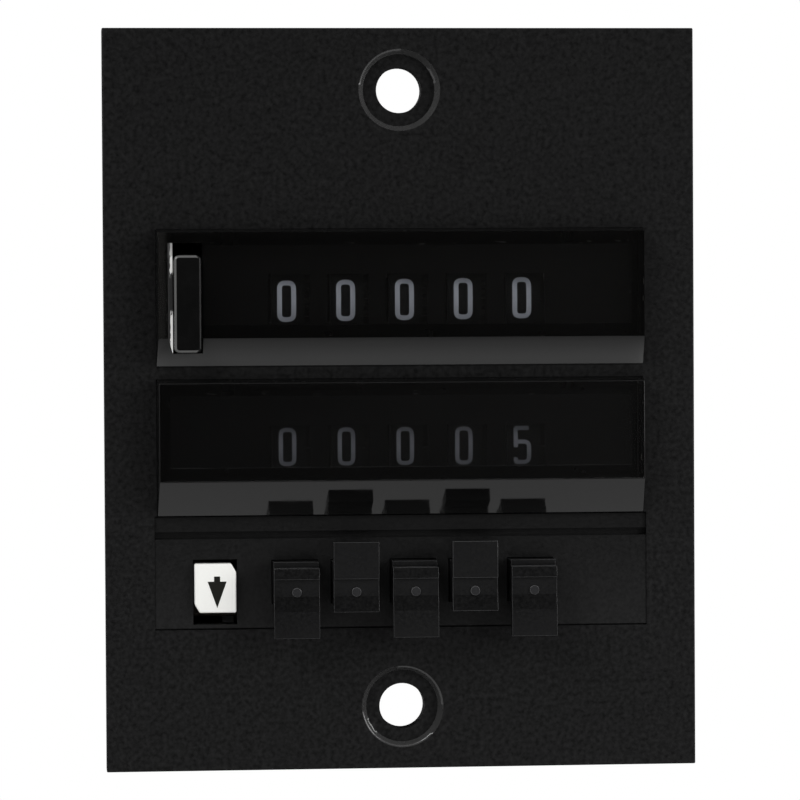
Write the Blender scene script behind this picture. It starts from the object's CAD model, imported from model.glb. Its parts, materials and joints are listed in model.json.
"""Looks of the preset counter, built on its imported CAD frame. All lengths are in metres in the row frame."""

import json
import math

import bmesh
import bpy
from mathutils import Matrix, Vector


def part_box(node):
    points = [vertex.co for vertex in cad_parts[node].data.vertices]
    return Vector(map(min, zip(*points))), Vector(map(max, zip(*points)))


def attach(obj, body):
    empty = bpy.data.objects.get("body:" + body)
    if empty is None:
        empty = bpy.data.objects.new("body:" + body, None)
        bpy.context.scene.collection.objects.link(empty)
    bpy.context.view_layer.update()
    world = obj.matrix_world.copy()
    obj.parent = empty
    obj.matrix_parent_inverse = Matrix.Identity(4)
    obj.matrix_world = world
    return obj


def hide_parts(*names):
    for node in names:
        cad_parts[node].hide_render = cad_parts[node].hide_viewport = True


bl_info = {
    "name": "Preset counter looks",
    "version": (1, 0, 0),
    "blender": (4, 5, 0),
    "location": "View3D > Sidebar > Counter",
    "description": "Numbers, prints, edges, materials and stage of an electromechanical preset counter",
    "category": "Object",
}

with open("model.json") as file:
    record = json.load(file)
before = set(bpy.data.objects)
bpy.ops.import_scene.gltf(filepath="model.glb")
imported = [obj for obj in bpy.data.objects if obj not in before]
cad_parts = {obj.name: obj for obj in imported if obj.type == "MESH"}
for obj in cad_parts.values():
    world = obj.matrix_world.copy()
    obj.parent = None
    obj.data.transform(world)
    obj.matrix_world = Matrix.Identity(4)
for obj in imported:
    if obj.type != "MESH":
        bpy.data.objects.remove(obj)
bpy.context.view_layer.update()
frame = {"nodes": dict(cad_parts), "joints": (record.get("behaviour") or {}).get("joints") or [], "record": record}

MM = 0.001
DECADES = 5
DIGITS = 10
NEAR = 0.05 * MM

# Stage: the floor and the dark card reach between these places, and the lamps stand there
FLOOR_X, FLOOR_Y = (-0.6, 0.6), (-0.36, 0.1)
CARD_X, CARD_Z = (-0.24, 0.3), (-0.3, 0.26)
CARD_GAP = 0.04
KEY_LAMP = (-0.34, -0.3, 0.34)
FILL_LAMP = (0.45, -0.3, 0.14)
LAMP_SIZE = 0.3


class CounterCamera(bpy.types.PropertyGroup):
    distance: bpy.props.FloatProperty(
        name="Distance", description="Camera to the front plate's face", default=0.4, unit="LENGTH")
    left: bpy.props.FloatProperty(
        name="Left", description="How far the camera stands left of the plate's centre", default=0.035, unit="LENGTH")
    height: bpy.props.FloatProperty(
        name="Height", description="Camera height above the plate's centre", default=0.00958, unit="LENGTH")
    yaw: bpy.props.FloatProperty(
        name="Yaw", description="Turn of the view to the right", default=math.radians(4.9854), subtype="ANGLE")
    pitch: bpy.props.FloatProperty(
        name="Pitch", description="Tilt of the view, upwards", default=math.radians(-1.3849), subtype="ANGLE")
    roll: bpy.props.FloatProperty(
        name="Roll", description="Roll of the camera", default=math.radians(-0.3161), subtype="ANGLE")
    lens: bpy.props.FloatProperty(
        name="Lens", description="Focal length in millimetres on a 36 mm sensor", default=178.389)


class CounterStage(bpy.types.PropertyGroup):
    drop: bpy.props.FloatProperty(
        name="Floor drop", description="Floor below the plate's lower edge", default=0.02, unit="LENGTH")
    ambient: bpy.props.FloatProperty(
        name="Ambient", description="Strength of the world's even light", default=0.5)
    key_power: bpy.props.FloatProperty(
        name="Key power", description="Power of the key lamp", default=1.6, unit="POWER")
    fill_power: bpy.props.FloatProperty(
        name="Fill power", description="Power of the fill lamp", default=2.0, unit="POWER")
    card_shade: bpy.props.FloatProperty(
        name="Card shade", description="Shade of the dark card behind the camera", default=0.006)


class CounterNumbers(bpy.types.PropertyGroup):
    count_height: bpy.props.FloatProperty(
        name="Count height", description="Height of a count number", default=0.00424, unit="LENGTH")
    count_width: bpy.props.FloatProperty(
        name="Count width", description="Width of a count number", default=0.00193, unit="LENGTH")
    count_stroke: bpy.props.FloatProperty(
        name="Count stroke", description="Stroke of a count number", default=0.00049, unit="LENGTH")
    preset_height: bpy.props.FloatProperty(
        name="Preset height", description="Height of a preset number", default=0.00392, unit="LENGTH")
    preset_width: bpy.props.FloatProperty(
        name="Preset width", description="Width of a preset number", default=0.00178, unit="LENGTH")
    preset_stroke: bpy.props.FloatProperty(
        name="Preset stroke", description="Stroke of a preset number", default=0.00042, unit="LENGTH")
    shift: bpy.props.FloatProperty(
        name="Shift", description="How far the numbers lie left of their wheel's middle", default=0.00015,
        unit="LENGTH", precision=6)
    rise: bpy.props.FloatProperty(
        name="Rise", description="How much higher each count wheel's numbers lie than those to its left",
        default=0.00006, unit="LENGTH", precision=6)
    count_lift: bpy.props.FloatProperty(
        name="Count lift", description="How far the count numbers lie above their wheel's middle", default=0.000055,
        unit="LENGTH", precision=6)
    preset_lift: bpy.props.FloatProperty(
        name="Preset lift", description="How far the preset numbers lie above their wheel's middle", default=0.0001,
        unit="LENGTH", precision=6)
    ink: bpy.props.FloatProperty(
        name="Ink", description="Thickness of the printed ink", default=0.00003, unit="LENGTH", precision=6)


class CounterEdges(bpy.types.PropertyGroup):
    plate: bpy.props.FloatProperty(
        name="Plate", description="Soft edge round the front plate", default=0.00012, unit="LENGTH", precision=6)
    window: bpy.props.FloatProperty(
        name="Window", description="Polished edge of the windows", default=0.00008, unit="LENGTH", precision=6)
    window_end: bpy.props.FloatProperty(
        name="Window end", description="Slope left at the ends of the windows", default=0.0002, unit="LENGTH",
        precision=6)
    key: bpy.props.FloatProperty(
        name="Key", description="Soft edge of the setting keys", default=0.00013, unit="LENGTH", precision=6)
    reset: bpy.props.FloatProperty(
        name="Reset key", description="Polished edge of the reset key", default=0.00026, unit="LENGTH", precision=6)
    housing: bpy.props.FloatProperty(
        name="Housing", description="Soft edge of the housing and terminals", default=0.0003, unit="LENGTH",
        precision=6)


GROUPS = {
    "counter_camera": CounterCamera,
    "counter_stage": CounterStage,
    "counter_numbers": CounterNumbers,
    "counter_edges": CounterEdges,
}


# Materials. Each is a Principled shader whose colour, roughness and bump come from noise in object space.
class Nodes:
    """A short way to add and join the nodes of one material."""

    def __init__(self, name):
        self.material = bpy.data.materials.new(name)
        self.material.use_nodes = True
        self.tree = self.material.node_tree
        self.shader = self.tree.nodes["Principled BSDF"]
        self.coordinates = self.add("ShaderNodeTexCoord")

    def add(self, kind, **inputs):
        node = self.tree.nodes.new(kind)
        for name, value in inputs.items():
            node.inputs[name.replace("_", " ")].default_value = value
        return node

    def join(self, source, target):
        self.tree.links.new(source, target)

    def noise(self, scale, detail=3.0, stretch=(1, 1, 1)):
        node = self.add("ShaderNodeTexNoise", Scale=scale, Detail=detail)
        mapping = self.add("ShaderNodeMapping", Scale=stretch)
        self.join(self.coordinates.outputs["Object"], mapping.inputs["Vector"])
        self.join(mapping.outputs["Vector"], node.inputs["Vector"])
        return node.outputs["Fac"]

    def ramp(self, source, stops, target):
        node = self.add("ShaderNodeValToRGB")
        elements = node.color_ramp.elements
        while len(elements) < len(stops):
            elements.new(1.0)
        for element, (place, colour) in zip(elements, stops):
            element.position = place
            element.color = colour if len(colour) == 4 else (*colour, 1)
        self.join(source, node.inputs["Fac"])
        self.join(node.outputs["Color"], target)

    def along(self, axis, low, high, first=0.0, last=1.0):
        """A value that runs from first to last between two places along an axis."""
        split = self.add("ShaderNodeSeparateXYZ")
        place = self.add("ShaderNodeMapRange", From_Min=low, From_Max=high, To_Min=first, To_Max=last)
        self.join(self.coordinates.outputs["Object"], split.inputs["Vector"])
        self.join(split.outputs[axis], place.inputs["Value"])
        return place.outputs["Result"]

    def math(self, operation, *values):
        """A sum of sockets and plain numbers."""
        node = self.add("ShaderNodeMath")
        node.operation = operation
        for entry, value in zip(node.inputs, values):
            if isinstance(value, float):
                entry.default_value = value
            else:
                self.join(value, entry)
        return node.outputs["Value"]

    def bump(self, source, strength, distance, before=None):
        node = self.add("ShaderNodeBump", Strength=strength, Distance=distance)
        self.join(source, node.inputs["Height"])
        if before:
            self.join(before.outputs["Normal"], node.inputs["Normal"])
        self.join(node.outputs["Normal"], self.shader.inputs["Normal"])
        return node


def shade(colour, share):
    return tuple(min(1.0, c * share) for c in colour)


def moulded(name, colour, roughness, grain=2600.0, depth=0.000012, strength=0.5, spread=0.18, cloud=90.0, gloss=0.5,
            fall=None):
    """Moulded plastic: a fine grain, and a slow drift of colour and gloss.

    fall=(low z, high z, share) takes the colour down to that share at the high z.
    """
    nodes = Nodes(name)
    nodes.shader.inputs["Specular IOR Level"].default_value = gloss
    fine = nodes.noise(grain, 2.0)
    slow = nodes.noise(cloud, 4.0)
    paint = nodes.shader.inputs["Base Color"]
    if fall:
        low_z, high_z, share = fall
        scaled = nodes.add("ShaderNodeVectorMath")
        scaled.operation = "SCALE"
        nodes.join(nodes.along("Z", low_z, high_z, 1.0, share), scaled.inputs["Scale"])
        nodes.join(scaled.outputs["Vector"], paint)
        paint = scaled.inputs[0]
    nodes.ramp(slow, [(0.3, shade(colour, 1 - spread)), (0.7, shade(colour, 1 + spread))], paint)
    nodes.ramp(fine, [(0.3, (roughness - 0.08,) * 3), (0.7, (roughness + 0.08,) * 3)],
               nodes.shader.inputs["Roughness"])
    wide = nodes.bump(nodes.noise(grain / 5, 2.0), strength * 0.4, depth * 2)
    nodes.bump(fine, strength, depth, wide)
    return nodes.material


def metal(name, colour, roughness, along=(1, 30, 30), scale=400.0, strength=0.3):
    """Rolled, drawn or plated metal with fine lines along one direction and faint stains."""
    nodes = Nodes(name)
    nodes.shader.inputs["Metallic"].default_value = 1.0
    lines = nodes.noise(scale, 3.0, along)
    stain = nodes.noise(120.0, 4.0)
    nodes.ramp(stain, [(0.3, shade(colour, 0.82)), (0.7, shade(colour, 1.08))], nodes.shader.inputs["Base Color"])
    nodes.ramp(lines, [(0.3, (roughness - 0.1,) * 3), (0.7, (roughness + 0.12,) * 3)],
               nodes.shader.inputs["Roughness"])
    nodes.bump(lines, strength, 0.000006)
    return nodes.material


def clear(name, tint, alpha, roughness=0.05, pale_x=None):
    """Smoked clear plastic: seen through by its alpha, with faint moulding flow, lighter towards its right end.

    pale_x is where the paler stretch at its left end stops.
    """
    nodes = Nodes(name)
    nodes.shader.inputs["Specular IOR Level"].default_value = 0.5
    flow = nodes.noise(60.0, 3.0, (1, 1, 4))
    low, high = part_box("front_plate")
    place = nodes.math("MULTIPLY_ADD", flow, 0.3, nodes.along("X", low.x, high.x))
    stops = [(0.25, tint), (1.0, shade(tint, 1.6))]
    if pale_x is not None:
        place = nodes.math("MULTIPLY", place, nodes.along("X", pale_x - 1.2 * MM, pale_x))
        stops = [(0.0, shade(tint, 6)), (0.18, tint), *stops]
    nodes.ramp(place, stops, nodes.shader.inputs["Base Color"])
    nodes.ramp(flow, [(0.3, (roughness,) * 3), (0.75, (roughness + 0.05,) * 3)], nodes.shader.inputs["Roughness"])
    nodes.shader.inputs["Alpha"].default_value = alpha
    nodes.bump(flow, 0.12, 0.00001)
    return nodes.material


def wound(name, colour):
    """Enamelled wire: fine turns across the coil's axis, Y."""
    nodes = Nodes(name)
    wave = nodes.add("ShaderNodeTexWave", Scale=900.0, Distortion=0.6)
    wave.bands_direction = "Y"
    nodes.join(nodes.coordinates.outputs["Object"], wave.inputs["Vector"])
    nodes.ramp(wave.outputs["Fac"], [(0.1, shade(colour, 0.45)), (0.8, shade(colour, 1.15))],
               nodes.shader.inputs["Base Color"])
    nodes.shader.inputs["Metallic"].default_value = 0.7
    nodes.ramp(nodes.noise(300.0), [(0.3, (0.25,) * 3), (0.7, (0.4,) * 3)], nodes.shader.inputs["Roughness"])
    nodes.bump(wave.outputs["Fac"], 0.8, 0.00008)
    return nodes.material


def slanted(name, low_z, high_z, low_colour, high_colour, roughness, gloss):
    """Slanted foot of a window: a grey that darkens upwards, as the clear plastic thins."""
    nodes = Nodes(name)
    nodes.shader.inputs["Specular IOR Level"].default_value = gloss
    height = nodes.along("Z", low_z, high_z)
    nodes.ramp(height, [(0.0, low_colour), (1.0, high_colour)], nodes.shader.inputs["Base Color"])
    nodes.ramp(nodes.noise(500.0), [(0.3, (roughness,) * 3), (0.7, (roughness + 0.06,) * 3)],
               nodes.shader.inputs["Roughness"])
    nodes.bump(nodes.noise(700.0), 0.15, 0.000003)
    return nodes.material


# Where the sawn wall is white: axis, the share of raggedness, and the stops from its low to its high end
FROSTED = [
    ("Z", 0.2, [(0.45, 1.0), (0.49, 0.0), (0.81, 0.0), (0.85, 1.0), (0.96, 1.0), (0.98, 0.3)]),
    ("Y", 0.6, [(0.72, 0.0), (0.82, 1.0)]),
]


def frosted(name, low, high):
    """Sawn wall of clear plastic: white behind a ragged front edge, with a dull stretch rubbed by the key."""
    nodes = Nodes(name)
    ragged = nodes.noise(2500.0, 4.0)
    both = nodes.add("ShaderNodeMath")
    both.operation = "MULTIPLY"
    for index, (axis, share, stops) in enumerate(FROSTED):
        ends = (getattr(corner, axis.lower()) for corner in (low, high))
        moved = nodes.math("MULTIPLY_ADD", ragged, share, nodes.along(axis, *ends))
        nodes.ramp(moved, [(at, (value,) * 3) for at, value in stops], both.inputs[index])
    for target in ("Base Color", "Emission Color"):
        nodes.ramp(both.outputs["Value"], [(0.0, (0.03, 0.03, 0.03)), (1.0, (0.95, 0.95, 0.93))],
                   nodes.shader.inputs[target])
    nodes.shader.inputs["Emission Strength"].default_value = 0.6
    nodes.ramp(nodes.noise(3500.0, 3.0), [(0.3, (0.45,) * 3), (0.7, (0.75,) * 3)], nodes.shader.inputs["Roughness"])
    nodes.bump(nodes.noise(3000.0, 3.0), 0.6, 0.00003)
    return nodes.material


def fall_over(node, share):
    """Tone that falls to a share of itself up a node's height."""
    low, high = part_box(node)
    return low.z, high.z, share


# Grain, depth and strength of a smooth surface
POLISHED = (900.0, 0.000004, 0.25)

MATERIALS = {
    "plate": lambda: moulded("plate", (0.0064, 0.0064, 0.0065), 0.5, 1900.0, 0.00002, 0.7, 0.75, 2300.0, 0.1,
                             fall_over("front_plate", 0.68)),
    "counterbore": lambda: moulded("counterbore", (0.034, 0.034, 0.034), 0.22, *POLISHED, gloss=0.5),
    "panel": lambda: moulded("panel", (0.0098, 0.0098, 0.0099), 0.42, 3200.0, 0.000008, 0.5, 0.3, 3000.0, 0.12,
                             fall_over("key_panel", 0.45)),
    "clear": lambda: clear("clear", (0.0022, 0.0021, 0.002), 0.3),
    "mask": lambda: moulded("mask", (0.0012, 0.0012, 0.0012), 0.7, gloss=0.05),
    "keys": lambda: moulded("keys", (0.005, 0.005, 0.0052), 0.36, 3400.0, 0.000003, 0.2, gloss=0.16),
    "key_rim": lambda: moulded("key_rim", (0.095, 0.095, 0.097), 0.3, 3400.0, 0.000005, 0.3, gloss=0.4),
    "key_dot": lambda: moulded("key_dot", (0.014, 0.014, 0.015), 0.4, 3400.0, 0.000005, 0.3, gloss=0.2),
    "key_ramp": lambda: moulded("key_ramp", (0.003, 0.003, 0.0031), 0.36, 3400.0, 0.000003, 0.2, gloss=0.14),
    "springs": lambda: metal("springs", (0.56, 0.56, 0.57), 0.3),
    "white": lambda: moulded("white", (0.84, 0.84, 0.81), 0.42, 3000.0, 0.000008, 0.4, 0.02),
    "steel": lambda: metal("steel", (0.6, 0.6, 0.61), 0.36),
    "guide": lambda: moulded("guide", (0.03, 0.03, 0.032), 0.5),
    "reset": lambda: moulded("reset", (0.0035, 0.0035, 0.0035), 0.2, *POLISHED, gloss=0.1),
    "reset_rim": lambda: moulded("reset_rim", (0.055, 0.055, 0.054), 0.18, *POLISHED, gloss=0.6),
    "wheels": lambda: moulded("wheels", (0.006, 0.006, 0.0063), 0.5, gloss=0.15),
    "pinions": lambda: moulded("pinions", (0.7, 0.66, 0.54), 0.45, 1800.0, 0.00001, 0.5, 0.06),
    "bronze": lambda: metal("bronze", (0.62, 0.44, 0.22), 0.3, (1, 1, 30)),
    "iron": lambda: metal("iron", (0.45, 0.44, 0.43), 0.45, (30, 1, 30)),
    "bobbin": lambda: moulded("bobbin", (0.62, 0.55, 0.4), 0.5, 1600.0, 0.00001, 0.5, 0.06),
    "copper": lambda: wound("copper", (0.5, 0.2, 0.08)),
    "switch": lambda: moulded("switch", (0.05, 0.032, 0.022), 0.45),
    "shell": lambda: moulded("shell", (0.0145, 0.0145, 0.015), 0.52, 1500.0, 0.00003, 0.8),
    "terminals": lambda: metal("terminals", (0.6, 0.46, 0.25), 0.3, (1, 1, 1), 1500.0, 0.1),
}
made = {}


def material(slot):
    """The material of one of the record's slots, made once."""
    if slot not in made:
        made[slot] = MATERIALS[slot]()
    return made[slot]


def ink_material(name, colour):
    if name not in made:
        made[name] = moulded(name, colour, 0.6, 2200.0, 0.000006, 0.3, 0.06, 900.0, 0.1)
    return made[name]


# Shapes
node_slots = {part["node"]: part["material_slot"] for part in frame["record"]["subparts"]}
node_bodies = {node: body for body, nodes in frame["record"]["behaviour"]["bodies"].items() for node in nodes}


def mesh_object(name, mesh, body, paint):
    """A new piece that rides a CAD body and takes its finish from a slot."""
    piece = bpy.data.objects.new(name, mesh)
    bpy.context.scene.collection.objects.link(piece)
    mesh.materials.clear()
    mesh.materials.append(paint)
    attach(piece, body)
    return piece


def softened(node, name, width, segments=2, sharp=25.0, chosen=None, rim=None, reshape=None, clamp=True):
    """A copy of a CAD node with its edges, or the chosen ones, rounded inwards, which stands for the node.

    The rounded edges take the finish named by rim. reshape(point) moves a corner before that.
    """
    source = frame["nodes"][node]
    bm = bmesh.new()
    bm.from_mesh(source.data)
    bmesh.ops.remove_doubles(bm, verts=bm.verts, dist=2e-7)
    bmesh.ops.dissolve_limit(
        bm, angle_limit=math.radians(0.5), verts=bm.verts, edges=bm.edges, use_dissolve_boundaries=False)
    for face in bm.faces:
        face.smooth = True
        face.material_index = 0
    if reshape:
        for vert in bm.verts:
            vert.co = reshape(vert.co)
    if chosen:
        weight = bm.edges.layers.float.new("bevel_weight_edge")
        for edge in bm.edges:
            edge[weight] = 1.0 if chosen((edge.verts[0].co + edge.verts[1].co) / 2) else 0.0
            if edge[weight] and edge.calc_face_angle(0) < math.radians(sharp):
                edge[weight] = 0.0
    mesh = bpy.data.meshes.new(name)
    bm.to_mesh(mesh)
    bm.free()
    for slot in range(2):
        mesh.materials.append(material(node_slots[node]))
    mesh.set_sharp_from_angle(angle=math.radians(38))
    piece = bpy.data.objects.new(name, mesh)
    bpy.context.scene.collection.objects.link(piece)
    bevel = piece.modifiers.new("edges", "BEVEL")
    bevel.width = width
    bevel.segments = segments
    bevel.limit_method = "WEIGHT" if chosen else "ANGLE"
    bevel.angle_limit = math.radians(sharp)
    bevel.use_clamp_overlap = clamp
    bevel.material = 1 if rim else 0
    flat = piece.modifiers.new("flat", "WEIGHTED_NORMAL")
    flat.keep_sharp = True
    flat.weight = 100
    graph = bpy.context.evaluated_depsgraph_get()
    done = bpy.data.meshes.new_from_object(piece.evaluated_get(graph), preserve_all_data_layers=True, depsgraph=graph)
    bpy.data.objects.remove(piece)
    if not done.polygons:
        raise RuntimeError(f"{node} came out empty when its edges were rounded")
    rims = [face.index for face in done.polygons if face.material_index == 1]
    made_piece = mesh_object(name, done, node_bodies[node], material(node_slots[node]))
    if rim:
        done.materials.append(material(rim))
        for index in rims:
            done.polygons[index].material_index = 1
    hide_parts(node)
    return made_piece


def rounded_path(points, radius, closed=False, steps=6):
    """Points along a line whose corners are rounded by arcs."""
    corners = [Vector(p) for p in points]
    count = len(corners)
    out = []
    for i, corner in enumerate(corners):
        if not closed and i in (0, count - 1):
            out.append(corner)
            continue
        before = corners[i - 1] - corner
        after = corners[(i + 1) % count] - corner
        reach = min(radius, before.length * 0.49, after.length * 0.49)
        start = corner + before.normalized() * reach
        end = corner + after.normalized() * reach
        for step in range(steps + 1):
            t = step / steps
            out.append((1 - t) ** 2 * start + 2 * t * (1 - t) * corner + t ** 2 * end)
    if closed:
        out.append(out[0].copy())
    return out


def divided(points, longest):
    out = [points[0]]
    for a, b in zip(points, points[1:]):
        parts = max(1, math.ceil((b - a).length / longest))
        out += [a.lerp(b, i / parts) for i in range(1, parts + 1)]
    return out


def add_ribbon(bm, points, width, place, thickness):
    """A raised stroke of ink along a line. place(u, v, h) puts a point of the flat print in the row frame."""
    closed = (points[0] - points[-1]).length < 1e-9
    line = points[:-1] if closed else points
    count = len(line)
    rings = []
    for i, point in enumerate(line):
        ahead = line[(i + 1) % count] if closed or i < count - 1 else point
        behind = line[i - 1] if closed or i > 0 else point
        along = ahead - behind
        side = Vector((-along.y, along.x)).normalized() * width / 2
        corners = [(point + side, 0), (point + side, thickness), (point - side, thickness), (point - side, 0)]
        rings.append([bm.verts.new(place(q.x, q.y, h)) for q, h in corners])
    for i in range(count if closed else count - 1):
        a, b = rings[i], rings[(i + 1) % count]
        for j in range(4):
            bm.faces.new((a[j], a[(j + 1) % 4], b[(j + 1) % 4], b[j]))
    if not closed:
        bm.faces.new(rings[0][::-1])
        bm.faces.new(rings[-1])


# A number's strokes in a box from -1 to 1 both ways: its points, and whether the line closes
STROKES = {
    0: [([(-1, 1), (1, 1), (1, -1), (-1, -1)], True)],
    1: [([(-0.45, 0.72), (0.2, 1), (0.2, -1)], False)],
    2: [([(-1, 0.55), (-1, 1), (1, 1), (1, 0.2), (-1, -0.8), (-1, -1), (1, -1)], False)],
    3: [([(-1, 0.6), (-1, 1), (1, 1), (1, 0.06), (-0.3, 0.06)], False),
        ([(-0.3, 0.06), (1, 0.06), (1, -1), (-1, -1), (-1, -0.6)], False)],
    4: [([(0.45, -1), (0.45, 1), (-1, -0.45), (1.1, -0.45)], False)],
    5: [([(1, 1), (-1.12, 1)], False), ([(-1, 1), (-1, -0.12)], False),
        ([(-1, 0.2), (1, 0.2), (1, -1), (-1, -1), (-1, -0.72)], False)],
    6: [([(0.95, 0.62), (0.95, 1), (-1, 1), (-1, -1), (1, -1), (1, 0.12), (-0.9, 0.12)], False)],
    7: [([(-1, 1), (1, 1), (-0.25, -1)], False)],
    8: [([(-0.92, 1), (0.92, 1), (0.92, 0.08), (-0.92, 0.08)], True),
        ([(-1, 0.08), (1, 0.08), (1, -1), (-1, -1)], True)],
    9: [([(-0.95, -0.62), (-0.95, -1), (1, -1), (1, 1), (-1, 1), (-1, -0.12), (0.9, -0.12)], False)],
}


def wheel_numbers(name, node, x, shown, height, width, stroke, ink, paint, rise):
    """The ten numbers round a wheel's rim, with the shown one in front."""
    low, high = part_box(node)
    radius = (high.z - low.z) / 2
    axis = (low + high) / 2
    half_w = (width - stroke) / 2
    half_h = (height - stroke) / 2
    bm = bmesh.new()
    for digit, strokes in STROKES.items():
        middle = math.radians((digit - shown) * 360 / DIGITS) + rise / radius

        def place(u, v, h):
            angle = middle + v / radius
            r = radius - ink / 3 + h
            return (x + u, axis.y - r * math.cos(angle), axis.z + r * math.sin(angle))

        for points, closed in strokes:
            scaled = [(px * half_w, pz * half_h) for px, pz in points]
            line = rounded_path(scaled, half_w * 0.85, closed)
            add_ribbon(bm, divided(line, stroke * 0.9), stroke, place, ink)
    bmesh.ops.recalc_face_normals(bm, faces=bm.faces)
    mesh = bpy.data.meshes.new(name)
    bm.to_mesh(mesh)
    bm.free()
    return mesh_object(name, mesh, node_bodies[node], paint)


def outline_solid(name, points, y_front, y_back, body, paint):
    """A thin solid with an outline in X and Z between two planes."""
    bm = bmesh.new()
    front = [bm.verts.new((x, y_front, z)) for x, z in points]
    back = [bm.verts.new((x, y_back, z)) for x, z in points]
    bm.faces.new(front)
    bm.faces.new(back[::-1])
    for i in range(len(points)):
        j = (i + 1) % len(points)
        bm.faces.new((front[i], front[j], back[j], back[i]))
    bmesh.ops.recalc_face_normals(bm, faces=bm.faces)
    mesh = bpy.data.meshes.new(name)
    bm.to_mesh(mesh)
    bm.free()
    return mesh_object(name, mesh, body, paint)


def around(first, second):
    """The four corners of a rectangle, in order."""
    return [(first[0], second[0]), (first[1], second[0]), (first[1], second[1]), (first[0], second[1])]


def settings(name):
    return getattr(bpy.context.scene, name)


class COUNTER_OT_camera(bpy.types.Operator):
    """Camera that sees the counter as the photograph does"""

    bl_idname = "counter.camera"
    bl_label = "Camera"

    def execute(self, context):
        s = settings("counter_camera")
        low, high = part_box("front_plate")
        centre = (low + high) / 2
        data = bpy.data.cameras.new("camera")
        data.lens = s.lens
        data.sensor_width = 36.0
        data.clip_start = 0.01
        data.clip_end = 20.0
        camera = bpy.data.objects.new("camera", data)
        context.scene.collection.objects.link(camera)
        camera.location = (centre.x - s.left, low.y - s.distance, centre.z + s.height)
        turn = Matrix.Rotation(-s.yaw, 4, "Z") @ Matrix.Rotation(math.pi / 2 + s.pitch, 4, "X")
        camera.matrix_world = Matrix.Translation(camera.location) @ turn @ Matrix.Rotation(s.roll, 4, "Z")
        context.scene.camera = camera
        context.scene.view_settings.view_transform = "Standard"
        return {"FINISHED"}


class COUNTER_OT_stage(bpy.types.Operator):
    """White surroundings, floor, lamps and the dark card behind the camera"""

    bl_idname = "counter.stage"
    bl_label = "Stage"

    def execute(self, context):
        s = settings("counter_stage")
        world = bpy.data.worlds.new("world")
        context.scene.world = world
        world.use_nodes = True
        tree = world.node_tree
        tree.nodes.clear()
        path = tree.nodes.new("ShaderNodeLightPath")
        seen = tree.nodes.new("ShaderNodeMath")
        seen.operation = "MAXIMUM"
        also = tree.nodes.new("ShaderNodeMath")
        also.operation = "MAXIMUM"
        tree.links.new(path.outputs["Is Camera Ray"], seen.inputs[0])
        tree.links.new(path.outputs["Is Glossy Ray"], seen.inputs[1])
        tree.links.new(seen.outputs[0], also.inputs[0])
        tree.links.new(path.outputs["Is Transmission Ray"], also.inputs[1])
        even = tree.nodes.new("ShaderNodeBackground")
        even.inputs["Color"].default_value = (1, 1, 1, 1)
        even.inputs["Strength"].default_value = s.ambient
        white = tree.nodes.new("ShaderNodeBackground")
        white.inputs["Color"].default_value = (1, 1, 1, 1)
        white.inputs["Strength"].default_value = 1.0
        mix = tree.nodes.new("ShaderNodeMixShader")
        out = tree.nodes.new("ShaderNodeOutputWorld")
        tree.links.new(also.outputs[0], mix.inputs[0])
        tree.links.new(even.outputs[0], mix.inputs[1])
        tree.links.new(white.outputs[0], mix.inputs[2])
        tree.links.new(mix.outputs[0], out.inputs["Surface"])

        low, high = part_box("front_plate")
        camera = context.scene.camera.location
        floor_z = low.z - s.drop
        self.sheet("floor", [(x, y, floor_z) for x, y in around(FLOOR_X, FLOOR_Y)], (0.8, 0.8, 0.8))
        card_y = camera.y - CARD_GAP
        self.sheet("card", [(x, card_y, z) for x, z in around(CARD_X, CARD_Z)], (s.card_shade,) * 3,
                   reflected_only=True)
        target = Vector((0, low.y, 0))
        self.lamp("key_lamp", KEY_LAMP, target, s.key_power)
        self.lamp("fill_lamp", FILL_LAMP, target, s.fill_power)
        return {"FINISHED"}

    def sheet(self, name, corners, colour, reflected_only=False):
        """A plain sheet of the stage. The camera sees through one that is only there to be reflected."""
        bm = bmesh.new()
        bm.faces.new([bm.verts.new(c) for c in corners])
        mesh = bpy.data.meshes.new(name)
        bm.to_mesh(mesh)
        bm.free()
        nodes = Nodes(name)
        nodes.ramp(nodes.noise(8.0), [(0.3, shade(colour, 0.98)), (0.7, colour)], nodes.shader.inputs["Base Color"])
        nodes.shader.inputs["Roughness"].default_value = 0.9
        nodes.shader.inputs["Specular IOR Level"].default_value = 0.1
        if reflected_only:
            path = nodes.add("ShaderNodeLightPath")
            gone = nodes.add("ShaderNodeBsdfTransparent")
            mix = nodes.add("ShaderNodeMixShader")
            nodes.join(path.outputs["Is Camera Ray"], mix.inputs[0])
            nodes.join(nodes.shader.outputs["BSDF"], mix.inputs[1])
            nodes.join(gone.outputs["BSDF"], mix.inputs[2])
            nodes.join(mix.outputs["Shader"], nodes.tree.nodes["Material Output"].inputs["Surface"])
        mesh.materials.append(nodes.material)
        piece = bpy.data.objects.new(name, mesh)
        bpy.context.scene.collection.objects.link(piece)

    def lamp(self, name, place, target, power):
        data = bpy.data.lights.new(name, "AREA")
        data.size = LAMP_SIZE
        data.energy = power
        lamp = bpy.data.objects.new(name, data)
        bpy.context.scene.collection.objects.link(lamp)
        lamp.location = place
        lamp.rotation_euler = (target - Vector(place)).to_track_quat("-Z", "Y").to_euler()


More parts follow.
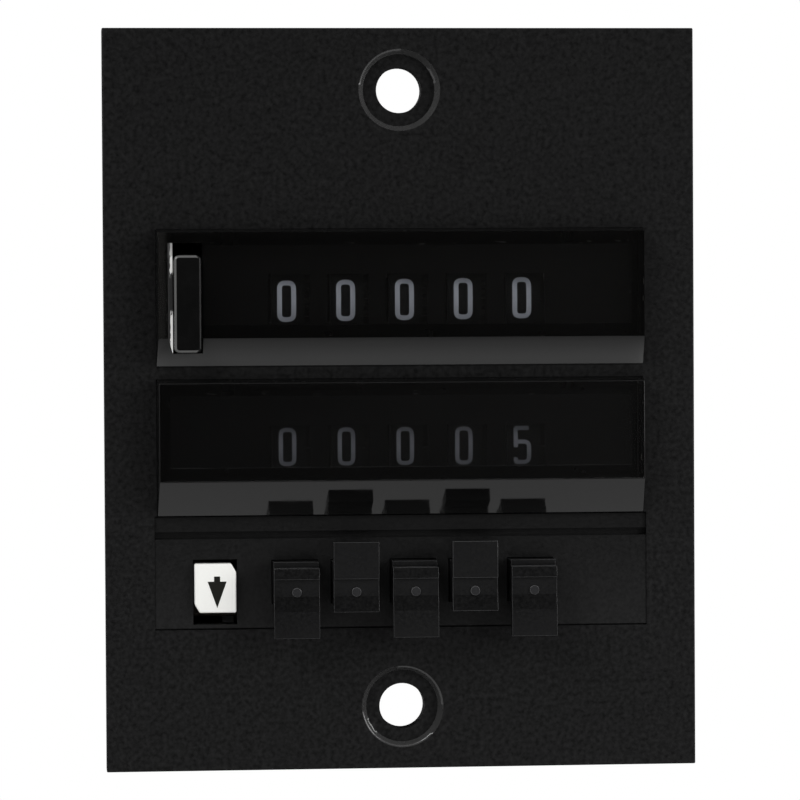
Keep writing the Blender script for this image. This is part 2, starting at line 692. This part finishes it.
class COUNTER_OT_front_plate(bpy.types.Operator):
    """Front plate with soft outer edges and smooth counterbores"""

    bl_idname = "counter.front_plate"
    bl_label = "Front plate"

    def execute(self, context):
        width = settings("counter_edges").plate
        low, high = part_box("front_plate")
        margin = 1 * MM

        def outside(point):
            return not (low.x + margin < point.x < high.x - margin and low.z + margin < point.z < high.z - margin)

        plate = softened("front_plate", "plate_moulding", width, chosen=outside)
        for finish in ("counterbore", "mask"):
            plate.data.materials.append(material(finish))
        bolts = next(mount["dims"] for mount in frame["record"]["mounts"] if mount["kind"] == "bolt_pattern")
        hole_z = bolts["spacing_y_mm"] / 2 * MM
        hole_r = bolts["hole_r_mm"] * MM
        for face in plate.data.polygons:
            reach = math.hypot(face.center.x, abs(face.center.z) - hole_z)
            if reach < 2 * hole_r + MM and abs(face.normal.y) < 0.98:
                face.material_index = 2 if reach < hole_r + 0.2 * MM else 1
        return {"FINISHED"}


class COUNTER_OT_windows(bpy.types.Operator):
    """Smoked windows with polished edges, slanted feet and the frosted cut of the reset slot"""

    bl_idname = "counter.windows"
    bl_label = "Windows"

    def execute(self, context):
        width = settings("counter_edges").window
        count = softened("count_window", "count_window_moulding", width, 3, reshape=self.steep_ends("count_window"))
        preset = softened(
            "preset_window", "preset_window_moulding", width, 3, reshape=self.steep_ends("preset_window"))
        slot_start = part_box("reset_key")[0].x
        self.finish(count, "count", clear("count_clear", (0.0048, 0.0047, 0.0045), 0.3, pale_x=slot_start),
                    (0.09, 0.09, 0.09), (0.016, 0.016, 0.016), 0.2, 0.1)
        self.finish(preset, "preset", clear("preset_clear", (0.0052, 0.0051, 0.005), 0.42),
                    (0.006, 0.006, 0.006), (0.001, 0.001, 0.001), 0.03, 0.54)
        return {"FINISHED"}

    def steep_ends(self, node):
        """The ends of the window's face nearly meet the plate's opening, as the photo shows."""
        low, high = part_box(node)
        corners = [v.co for v in frame["nodes"][node].data.vertices]
        face = [c for c in corners if c.y < low.y + NEAR]
        outer = [c for c in corners if c.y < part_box("front_plate")[0].y + NEAR]
        ends = (min(c.x for c in face), max(c.x for c in face))
        full = (min(c.x for c in outer), max(c.x for c in outer))
        slope = settings("counter_edges").window_end

        def move(point):
            if point.y > low.y + NEAR:
                return point
            if point.x < ends[0] + NEAR:
                return Vector((full[0] + slope, point.y, point.z))
            if point.x > ends[1] - NEAR:
                return Vector((full[1] - slope, point.y, point.z))
            return point

        return move

    def finish(self, window, name, face_paint, low_colour, high_colour, roughness, gloss):
        """Give the seen-through faces, the slanted foot, the edges, the cut and the walls a finish each."""
        corners = window.data.vertices
        plate_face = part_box("front_plate")[0].y
        slot_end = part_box("reset_key")[1].x
        kinds = {kind: [] for kind in ("clear", "foot", "edge", "cut", "wall")}
        for face in window.data.polygons:
            n = face.normal
            if face.center.y > plate_face - 0.1 * MM:
                kind = "wall"
            elif abs(n.y) > 0.99:
                kind = "clear"
            elif n.y < -0.5 and n.z < -0.5:
                kind = "foot"
            elif n.x > 0.7 and n.y < -0.05 and face.center.x < slot_end:
                kind = "cut"
            else:
                kind = "edge" if -0.99 < n.y < -0.2 else "wall"
            kinds[kind].append(face)
        foot = [corners[v].co.z for v in max(kinds["foot"], key=lambda face: face.area).vertices]
        cut = [corners[v].co for face in kinds["cut"] for v in face.vertices] or [Vector(), Vector((MM, MM, MM))]
        cut_low, cut_high = (Vector([pick(c[i] for c in cut) for i in range(3)]) for pick in (min, max))
        paints = {
            "clear": face_paint,
            "foot": slanted(f"{name}_foot", min(foot), max(foot), low_colour, high_colour, roughness, gloss),
            "edge": moulded(f"{name}_edge", (0.004, 0.004, 0.004), 0.2, 700.0, 0.000003, 0.2, gloss=0.15),
            "cut": frosted(f"{name}_cut", cut_low, cut_high),
            "wall": moulded(f"{name}_wall", (0.002, 0.002, 0.002), 0.2, 700.0, 0.000003, 0.2, gloss=0.2),
        }
        window.data.materials.clear()
        for index, (kind, paint) in enumerate(paints.items()):
            window.data.materials.append(paint)
            for face in kinds[kind]:
                face.material_index = index


class COUNTER_OT_numbers(bpy.types.Operator):
    """Printed numbers round every wheel"""

    bl_idname = "counter.numbers"
    bl_label = "Numbers"

    def execute(self, context):
        s = settings("counter_numbers")
        paint = ink_material("number_ink", (0.76, 0.8, 0.9))
        faded = ink_material("preset_ink", (0.6, 0.62, 0.7))
        joints = {j["child"]: j for j in frame["joints"]}
        for k in range(1, DECADES + 1):
            count, preset = f"count_wheel_{k}", f"preset_wheel_{k}"
            count_rise = (k - (DECADES + 1) / 2) * s.rise + s.count_lift
            wheel_numbers(f"count_numbers_{k}", count, joints[count]["pos_m"][0] - s.shift, 0,
                          s.count_height, s.count_width, s.count_stroke, s.ink, paint, count_rise)
            shown = 5 if k == DECADES else 0
            wheel_numbers(f"preset_numbers_{k}", preset, joints[preset]["pos_m"][0] - s.shift, shown,
                          s.preset_height, s.preset_width, s.preset_stroke, s.ink, faded, s.preset_lift)
        return {"FINISHED"}


class COUNTER_OT_setting_keys(bpy.types.Operator):
    """Setting keys with soft edges"""

    bl_idname = "counter.setting_keys"
    bl_label = "Setting keys"

    def execute(self, context):
        width = settings("counter_edges").key
        for k in range(1, DECADES + 1):
            piece = softened(f"setting_key_{k}", f"key_moulding_{k}", width, rim="key_rim")
            face_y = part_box(f"setting_key_{k}")[0].y
            piece.data.materials.append(material("key_dot"))
            piece.data.materials.append(material("key_ramp"))
            for face in piece.data.polygons:
                if face.normal.y < -0.99 and face_y + 0.06 * MM < face.center.y < face_y + 0.2 * MM:
                    face.material_index = 2
                elif -0.995 < face.normal.y < -0.9 and face.normal.z > 0 and face.area > MM * MM:
                    face.material_index = 3
        return {"FINISHED"}


class COUNTER_OT_lock_slide(bpy.types.Operator):
    """White lock slide with its printed arrow"""

    bl_idname = "counter.lock_slide"
    bl_label = "Lock slide"

    def execute(self, context):
        piece = softened("lock_slide", "slide_moulding", 0.00015, 3)
        low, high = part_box("lock_slide")
        x = (low.x + high.x) / 2 + 0.17 * MM
        z = (low.z + high.z) / 2
        ink = 0.02 * MM
        top, neck, tip = 1.2 * MM, 0.68 * MM, -1.98 * MM
        stem, head = 0.3 * MM, 0.95 * MM
        points = [(x - stem, z + top), (x + stem, z + top), (x + stem, z + neck), (x + head, z + neck),
                  (x, z + tip), (x - head, z + neck), (x - stem, z + neck)]
        carrier = moulded("carrier", (0.034, 0.029, 0.024), 0.5, gloss=0.1)
        piece.data.materials.append(carrier)
        plate_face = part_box("front_plate")[0].y
        for face in piece.data.polygons:
            face.material_index = 1 if face.center.y > plate_face + 2.2 * MM else 0
        outline_solid("slide_arrow", points, low.y - ink, low.y + ink, node_bodies["lock_slide"],
                      ink_material("arrow_ink", (0.009, 0.009, 0.007)))
        return {"FINISHED"}


class COUNTER_OT_reset_key(bpy.types.Operator):
    """Reset key with a polished edge round its face, which the light catches on the left and below"""

    bl_idname = "counter.reset_key"
    bl_label = "Reset key"

    def execute(self, context):
        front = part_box("reset_key")[0].y
        corners = [v.co for v in frame["nodes"]["reset_key"].data.vertices]
        face = [c for c in corners if c.y < front + NEAR]
        head = [c for c in corners if front + NEAR < c.y < front + MM]
        inner, outer = (
            [(min(c[i] for c in group), max(c[i] for c in group)) for i in (0, 2)] for group in (face, head))
        tiny = 0.01 * MM

        def widened(point):
            """The step round the face goes out to the key's outline."""
            spots = (point.x, point.z)
            if point.y > front + MM or any(not a - tiny < spot < b + tiny for spot, (a, b) in zip(spots, inner)):
                return point
            x, z = (c + (spot - a) * (d - c) / (b - a) for spot, (a, b), (c, d) in zip(spots, inner, outer))
            return Vector((x, point.y, z))

        def on_face(point):
            return point.y < front + 0.1 * MM

        key = softened("reset_key", "reset_moulding", settings("counter_edges").reset, 4, chosen=on_face,
                       rim="reset_rim", reshape=widened, clamp=False)
        for face in key.data.polygons:
            if face.normal.x > 0.1:
                face.material_index = 0
        return {"FINISHED"}


class COUNTER_OT_housing(bpy.types.Operator):
    """Housing and terminals with soft edges"""

    bl_idname = "counter.housing"
    bl_label = "Housing"

    def execute(self, context):
        width = settings("counter_edges").housing
        softened("housing", "housing_moulding", width)
        softened("terminal_block", "terminal_moulding", width * 0.7)
        return {"FINISHED"}


class COUNTER_OT_mechanism(bpy.types.Operator):
    """Finish of every CAD piece that is shown as it is"""

    bl_idname = "counter.mechanism"
    bl_label = "Mechanism"

    def execute(self, context):
        for node, piece in frame["nodes"].items():
            piece.data.materials.clear()
            piece.data.materials.append(material(node_slots[node]))
        return {"FINISHED"}


OPERATORS = [
    COUNTER_OT_camera,
    COUNTER_OT_stage,
    COUNTER_OT_mechanism,
    COUNTER_OT_front_plate,
    COUNTER_OT_windows,
    COUNTER_OT_numbers,
    COUNTER_OT_setting_keys,
    COUNTER_OT_lock_slide,
    COUNTER_OT_reset_key,
    COUNTER_OT_housing,
]


class COUNTER_PT_panel(bpy.types.Panel):
    """Lists the steps that build the counter's looks"""

    bl_idname = "COUNTER_PT_panel"
    bl_label = "Preset counter"
    bl_space_type = "VIEW_3D"
    bl_region_type = "UI"
    bl_category = "Counter"

    def draw(self, context):
        for name, group in GROUPS.items():
            box = self.layout.box()
            for prop in group.__annotations__:
                box.prop(getattr(context.scene, name), prop)
        for operator in OPERATORS:
            self.layout.operator(operator.bl_idname)


CLASSES = [*GROUPS.values(), *OPERATORS, COUNTER_PT_panel]


def register():
    for cls in CLASSES:
        bpy.utils.register_class(cls)
    for name, group in GROUPS.items():
        setattr(bpy.types.Scene, name, bpy.props.PointerProperty(type=group))


def unregister():
    for name in GROUPS:
        delattr(bpy.types.Scene, name)
    for cls in reversed(CLASSES):
        bpy.utils.unregister_class(cls)


def main():
    register()
    for operator in OPERATORS:
        group, name = operator.bl_idname.split(".")
        getattr(getattr(bpy.ops, group), name)()


if __name__ == "__main__":
    main()
